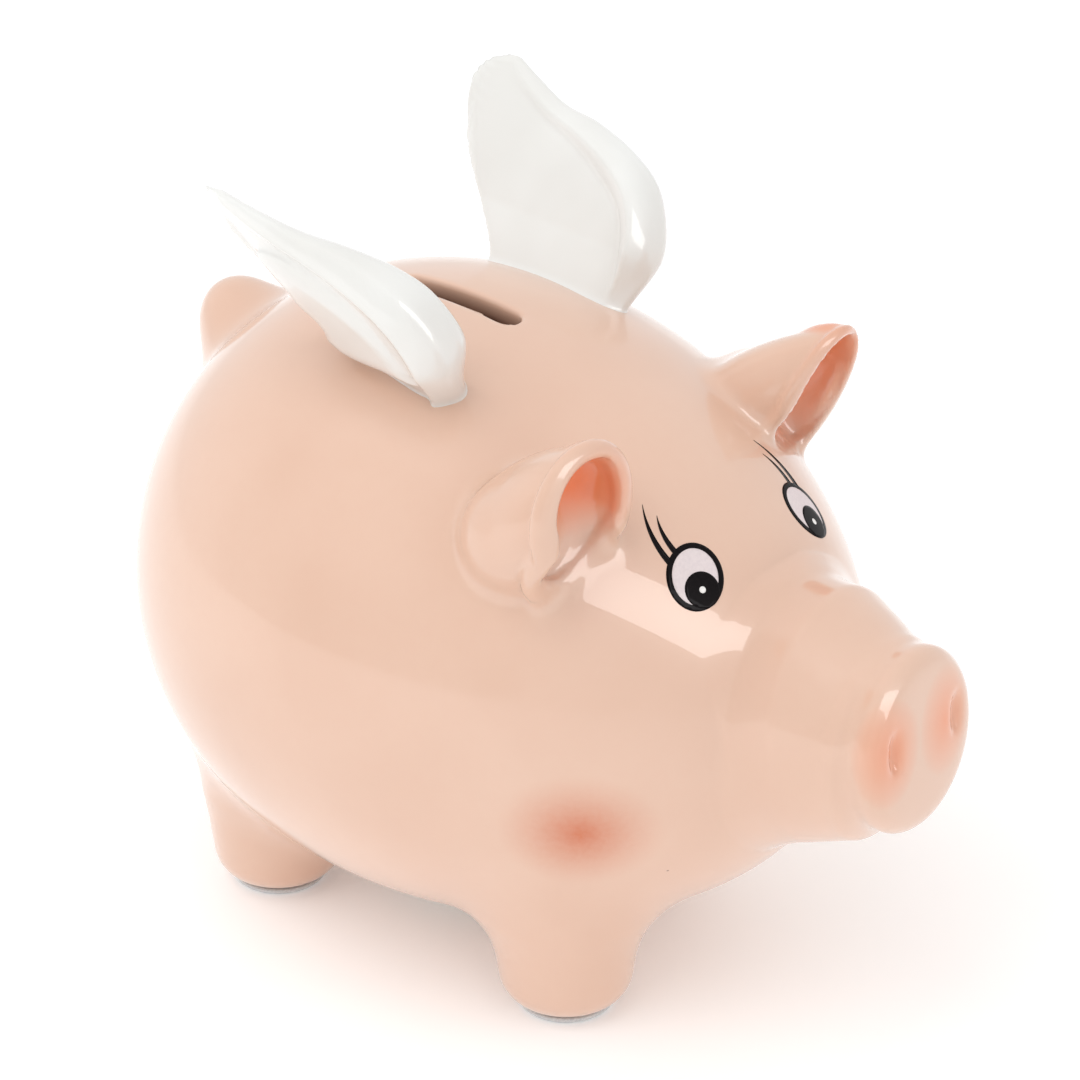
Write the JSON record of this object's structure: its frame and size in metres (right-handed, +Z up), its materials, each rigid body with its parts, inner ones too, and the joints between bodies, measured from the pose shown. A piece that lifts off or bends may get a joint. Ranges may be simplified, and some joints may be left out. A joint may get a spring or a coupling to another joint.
{
  "type": "piggy bank",
  "caption": "Glazed ceramic winged piggy bank with a coin slot in its back and a pull-out rubber stopper in its belly.",
  "frame": {"origin": "on the surface it stands on, below the middle of the bank's length and width", "axes": "-Y is the way the pig looks, +X is the pig's left side, +Z is up"},
  "size_m": [0.12, 0.166, 0.1488],
  "materials": {
    "body_shell": "gloss",
    "ear_left": "gloss",
    "ear_right": "gloss",
    "eye_glint_left": "gloss",
    "eye_glint_right": "gloss",
    "eye_print_black_left": "gloss",
    "eye_print_black_right": "gloss",
    "eye_print_white_left": "gloss",
    "eye_print_white_right": "gloss",
    "foot_pad_front_left": "matte",
    "foot_pad_front_right": "matte",
    "foot_pad_rear_left": "matte",
    "foot_pad_rear_right": "matte",
    "stopper": "matte",
    "tail": "gloss",
    "wing_left": "gloss",
    "wing_right": "gloss"
  },
  "bodies": {
    "bank": {"body_shell": "body_shell", "ear_left": "ear_left", "ear_right": "ear_right", "eye_glint_left": "eye_glint_left", "eye_glint_right": "eye_glint_right", "eye_print_black_left": "eye_print_black_left", "eye_print_black_right": "eye_print_black_right", "eye_print_white_left": "eye_print_white_left", "eye_print_white_right": "eye_print_white_right", "foot_pad_front_left": "foot_pad_front_left", "foot_pad_front_right": "foot_pad_front_right", "foot_pad_rear_left": "foot_pad_rear_left", "foot_pad_rear_right": "foot_pad_rear_right", "tail": "tail", "wing_left": "wing_left", "wing_right": "wing_right"},
    "stopper": {"stopper": "stopper"}
  },
  "joints": [
    {"name": "stopper_pull", "type": "slide", "parent": "bank", "child": "stopper", "axis": [0, 0, -1], "range_m": [0, 0.016]}
  ]
}
